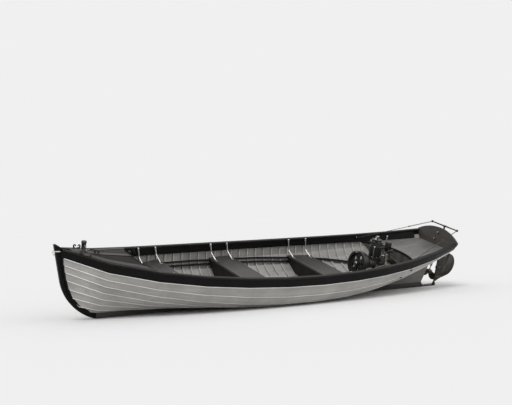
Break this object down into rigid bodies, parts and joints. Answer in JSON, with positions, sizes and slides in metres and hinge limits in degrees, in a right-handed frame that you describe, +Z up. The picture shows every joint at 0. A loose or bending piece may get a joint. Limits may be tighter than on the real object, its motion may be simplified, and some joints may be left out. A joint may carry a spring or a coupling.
{
  "type": "motor launch",
  "caption": "Open clinker-built motor launch with a decked bow and stern, cross seats, an open engine with flywheel, a shaft-driven propeller and a yoke-steered rudder.",
  "frame": {"origin": "middle of the boat's overall box, on the floor that it lies on", "axes": "+X forward to the stem, +Y to port, +Z up; the boat lies heeled to port on its keel and bilge"},
  "size_m": [5.9438, 1.3992, 0.9104],
  "materials": {
    "planking": "satin varnish",
    "dark_wood": "dark gloss varnish",
    "ribbing": "satin varnish",
    "seating": "satin varnish",
    "decking": "satin varnish",
    "aft_decking": "satin varnish",
    "panelling": "dark satin",
    "bright_metal": "polished",
    "bronze": "cast and dulled",
    "iron": "painted dark",
    "rope": "laid rope"
  },
  "bodies": {
    "hull": {"garboard": "planking", "strake_2": "planking", "strake_3": "planking", "strake_4": "planking", "strake_5": "planking", "strake_6": "planking", "strake_7": "planking", "sheer_strake": "dark_wood", "rails": "dark_wood", "keel": "dark_wood", "hog": "dark_wood", "stem": "dark_wood", "sternpost": "planking", "deadwood": "planking", "skeg_shoe": "bronze", "transom": "seating", "ribs": "ribbing", "inwales": "dark_wood", "risers": "dark_wood", "lower_stringers": "dark_wood", "thwart_1": "seating", "thwart_2": "seating", "thwart_3": "seating", "floorboards": "ribbing", "floor_bearers": "ribbing", "panel_middle": "panelling", "panel_aft": "panelling", "foredeck": "decking", "afterdeck": "aft_decking", "rudder_gudgeon": "bronze", "engine_bearers": "ribbing", "engine_crankcase": "iron", "engine_cylinder": "iron", "engine_head": "iron", "carburettor": "bronze", "water_pump": "bronze", "hull_outlets": "bronze", "foredeck_beam": "dark_wood", "afterdeck_bulkhead": "aft_decking", "thwart_knees": "bright_metal", "mooring_bitt": "dark_wood", "bow_chocks": "iron", "deck_cleat": "iron", "bow_ring": "bright_metal", "helm_bracket": "bright_metal", "stern_bearing": "bronze", "exhaust_pipe": "iron", "line_fairleads": "bright_metal", "steering_lines": "rope"},
    "rudder": {"rudder_blade": "seating", "rudder_stock": "bright_metal", "rudder_yoke": "bright_metal"},
    "drive": {"shaft": "bright_metal", "propeller": "bronze", "flywheel": "iron"},
    "helm": {"helm_wheel": "seating"}
  },
  "joints": [
    {"name": "rudder_turn", "type": "hinge", "parent": "hull", "child": "rudder", "pos_m": [-2.63906, -0.02039, 0.38964], "axis": [0, 0.2854, 0.9584], "range_deg": [-35, 35], "deforming": ["steering_lines"]},
    {"name": "drive_spin", "type": "hinge", "parent": "hull", "child": "drive", "pos_m": [-2.49906, -0.07234, 0.21521], "axis": [0.9904, 0.0395, 0.1327], "continuous": true},
    {"name": "helm_turn", "type": "hinge", "parent": "hull", "child": "helm", "pos_m": [2.04694, 0.02153, 0.68809], "axis": [1, 0, 0], "range_deg": [-151, 151]}
  ],
  "couplings": [
    {"joint": "helm_turn", "follows": "rudder_turn", "ratio": 4.2857}
  ]
}
